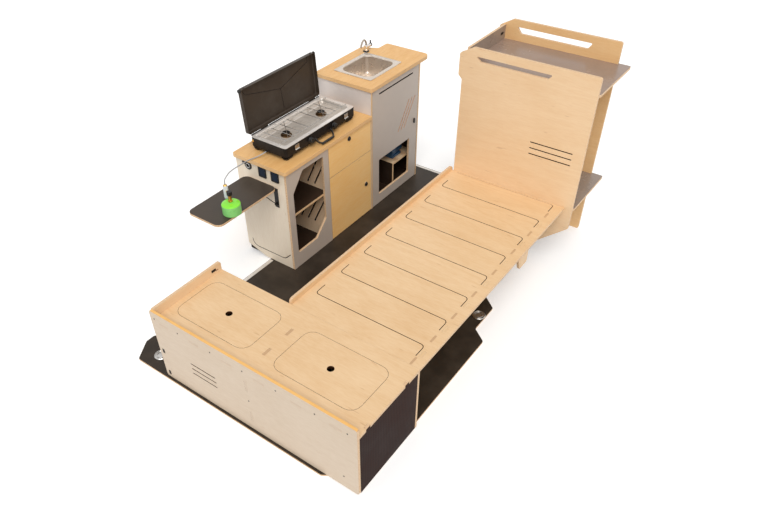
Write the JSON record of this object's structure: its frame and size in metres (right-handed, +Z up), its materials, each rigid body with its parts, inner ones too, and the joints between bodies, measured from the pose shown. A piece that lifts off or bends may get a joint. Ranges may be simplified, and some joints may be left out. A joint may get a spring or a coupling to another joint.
{
  "type": "van kitchen and bed kit",
  "caption": "Plywood camper van fit-out on one floor plate: rear storage bench, slatted bed plate, headboard box and a galley with sink, fold-down table and case stove.",
  "frame": {"origin": "middle of the kit's footprint, on the ground", "axes": "+X from the rear bench to the headboard, +Y to the galley's wall side, +Z up; the galley's doors face -Y"},
  "size_m": [2.6, 1.773, 1.238],
  "materials": {
    "oiled_birch": "oiled birch plywood, warm and satin",
    "pale_birch": "sealed pale birch plywood",
    "birch": "birch plywood inside faces",
    "grey_film": "birch plywood with a matt grey phenolic film",
    "dark_film": "birch plywood with a dark brown phenolic film",
    "floor_film": "film-faced floor plywood, dark brown and slightly mottled",
    "black_steel": "black powder coat",
    "black_plastic": "moulded black plastic",
    "stainless": "pressed stainless steel",
    "plated_steel": "zinc plated steel",
    "chrome": "polished chrome",
    "brass": "cast and turned brass",
    "green_paint": "gloss green lacquer on steel",
    "blue_plastic": "blown dark blue plastic",
    "grey_hose": "smooth grey hose",
    "strap_rubber": "moulded soft black handle"
  },
  "bodies": {
    "kit": {"floor_plate": "floor_film", "tie_down_cup_rear": "plated_steel", "tie_down_cup_side": "plated_steel", "bench_rear_panel": "pale_birch", "bench_left_end": "birch", "bench_front_panel": "birch", "bench_right_end": "dark_film", "bench_divider": "birch", "bench_seat": "oiled_birch", "bed_plate": "oiled_birch", "bed_side_panel": "oiled_birch", "bed_supports": "birch", "headboard_front": "pale_birch", "headboard_rear": "birch", "headboard_side": "dark_film", "headboard_top_shelf": "dark_film", "headboard_low_shelf": "dark_film", "low_end_panel": "pale_birch", "low_front_frame": "grey_film", "low_worktop": "oiled_birch", "low_carcass": "birch", "power_socket": "black_plastic", "control_units": "black_plastic", "table_brackets": "black_steel", "tall_carcass": "grey_film", "tall_worktop": "oiled_birch", "sink_basin": "stainless", "tap_body": "chrome", "water_can": "blue_plastic", "water_pump": "blue_plastic", "stove_case": "black_steel", "stove_tray": "stainless", "stove_burner_left": "brass", "stove_burner_right": "brass", "stove_grate": "plated_steel", "gas_hose": "grey_hose"},
    "bench_lid_left_body": {"bench_lid_left": "oiled_birch"},
    "bench_lid_right_body": {"bench_lid_right": "oiled_birch"},
    "ring_rear": {"tie_down_ring_rear": "plated_steel"},
    "ring_side": {"tie_down_ring_side": "plated_steel"},
    "drawer": {"drawer_front": "oiled_birch", "drawer_box": "birch"},
    "drawer_lock_body": {"drawer_lock": "black_plastic"},
    "door": {"low_door": "oiled_birch"},
    "door_lock_body": {"door_lock": "black_plastic"},
    "sink_door": {"tall_door": "grey_film"},
    "sink_door_latch": {"tall_latch": "black_plastic"},
    "table": {"side_table": "dark_film", "gas_cartridge": "green_paint", "gas_valve": "brass"},
    "braces": {"table_braces": "black_steel"},
    "cartridge_knob": {"gas_knob": "black_plastic"},
    "spout": {"tap_spout": "chrome"},
    "lever": {"tap_lever": "chrome"},
    "lid": {"stove_lid": "black_steel"},
    "knob_left": {"stove_knob_left": "black_plastic"},
    "knob_right": {"stove_knob_right": "black_plastic"},
    "latch_left": {"stove_latch_left": "plated_steel"},
    "latch_right": {"stove_latch_right": "plated_steel"},
    "carry_handle": {"stove_handle": "strap_rubber"}
  },
  "joints": [
    {"name": "bench_lid_left_lift", "type": "slide", "parent": "kit", "child": "bench_lid_left_body", "axis": [0, 0, 1], "range_m": [0, 0.25]},
    {"name": "bench_lid_right_lift", "type": "slide", "parent": "kit", "child": "bench_lid_right_body", "axis": [0, 0, 1], "range_m": [0, 0.25]},
    {"name": "ring_rear_fold", "type": "hinge", "parent": "kit", "child": "ring_rear", "pos_m": [-1.209, 0.5895, 0.0128], "axis": [-1, 0, 0], "range_deg": [0, 100]},
    {"name": "ring_side_fold", "type": "hinge", "parent": "kit", "child": "ring_side", "pos_m": [0.075, -0.6725, 0.0128], "axis": [-1, 0, 0], "range_deg": [0, 100]},
    {"name": "drawer_slide", "type": "slide", "parent": "kit", "child": "drawer", "axis": [0, -1, 0], "range_m": [0, 0.28]},
    {"name": "drawer_lock_push", "type": "slide", "parent": "drawer", "child": "drawer_lock_body", "axis": [0, -1, 0], "range_m": [0, 0.006]},
    {"name": "door_hinge", "type": "hinge", "parent": "kit", "child": "door", "pos_m": [0.16825, 0.44425, 0.0135], "axis": [0, 0, -1], "range_deg": [0, 110]},
    {"name": "door_lock_push", "type": "slide", "parent": "door", "child": "door_lock_body", "axis": [0, -1, 0], "range_m": [0, 0.006]},
    {"name": "sink_door_hinge", "type": "hinge", "parent": "kit", "child": "sink_door", "pos_m": [0.62305, 0.44475, 0.0135], "axis": [0, 0, -1], "range_deg": [0, 66]},
    {"name": "sink_door_latch_turn", "type": "hinge", "parent": "sink_door", "child": "sink_door_latch", "pos_m": [1.119, 0.4455, 0.465], "axis": [0, -1, 0], "range_deg": [0, 90]},
    {"name": "table_fold", "type": "hinge", "parent": "kit", "child": "table", "pos_m": [-0.238, 0.6335, 0.567], "axis": [0, -1, 0], "range_deg": [0, 88], "deforming": ["gas_hose"]},
    {"name": "brace_fold", "type": "hinge", "parent": "kit", "child": "braces", "pos_m": [-0.2255, 0.6335, 0.467], "axis": [0, -1, 0], "range_deg": [0, 140.13]},
    {"name": "cartridge_knob_turn", "type": "hinge", "parent": "table", "child": "cartridge_knob", "pos_m": [-0.557, 0.5445, 0.7009], "axis": [0, 0, 1], "range_deg": [0, 300]},
    {"name": "spout_swing", "type": "hinge", "parent": "kit", "child": "spout", "pos_m": [1.067, 0.8125, 0.9306], "axis": [0, 0, 1], "range_deg": [-80, 80]},
    {"name": "lever_tilt", "type": "hinge", "parent": "kit", "child": "lever", "pos_m": [1.1108, 0.8125, 0.9153], "axis": [1, 0, 0], "range_deg": [-40, 40]},
    {"name": "stove_lid_close", "type": "hinge", "parent": "kit", "child": "lid", "pos_m": [0.192, 0.778, 0.7895], "axis": [1, 0, 0], "range_deg": [0, 93.8]},
    {"name": "stove_knob_left_turn", "type": "hinge", "parent": "kit", "child": "knob_left", "pos_m": [0.07825, 0.5012, 0.758], "axis": [0, -1, 0], "range_deg": [-270, 0]},
    {"name": "stove_latch_left_flip", "type": "hinge", "parent": "kit", "child": "latch_left", "pos_m": [-0.03875, 0.5022, 0.782], "axis": [-1, 0, 0], "range_deg": [0, 100]},
    {"name": "stove_knob_right_turn", "type": "hinge", "parent": "kit", "child": "knob_right", "pos_m": [0.29925, 0.5012, 0.758], "axis": [0, -1, 0], "range_deg": [-270, 0]},
    {"name": "stove_latch_right_flip", "type": "hinge", "parent": "kit", "child": "latch_right", "pos_m": [0.42275, 0.5022, 0.782], "axis": [-1, 0, 0], "range_deg": [0, 100]},
    {"name": "carry_handle_swing", "type": "hinge", "parent": "kit", "child": "carry_handle", "pos_m": [0.1894, 0.49675, 0.748], "axis": [-1, 0, 0], "range_deg": [0, 100]}
  ],
  "couplings": [
    {"joint": "brace_fold", "follows": "table_fold", "ratio": 1.5923}
  ]
}
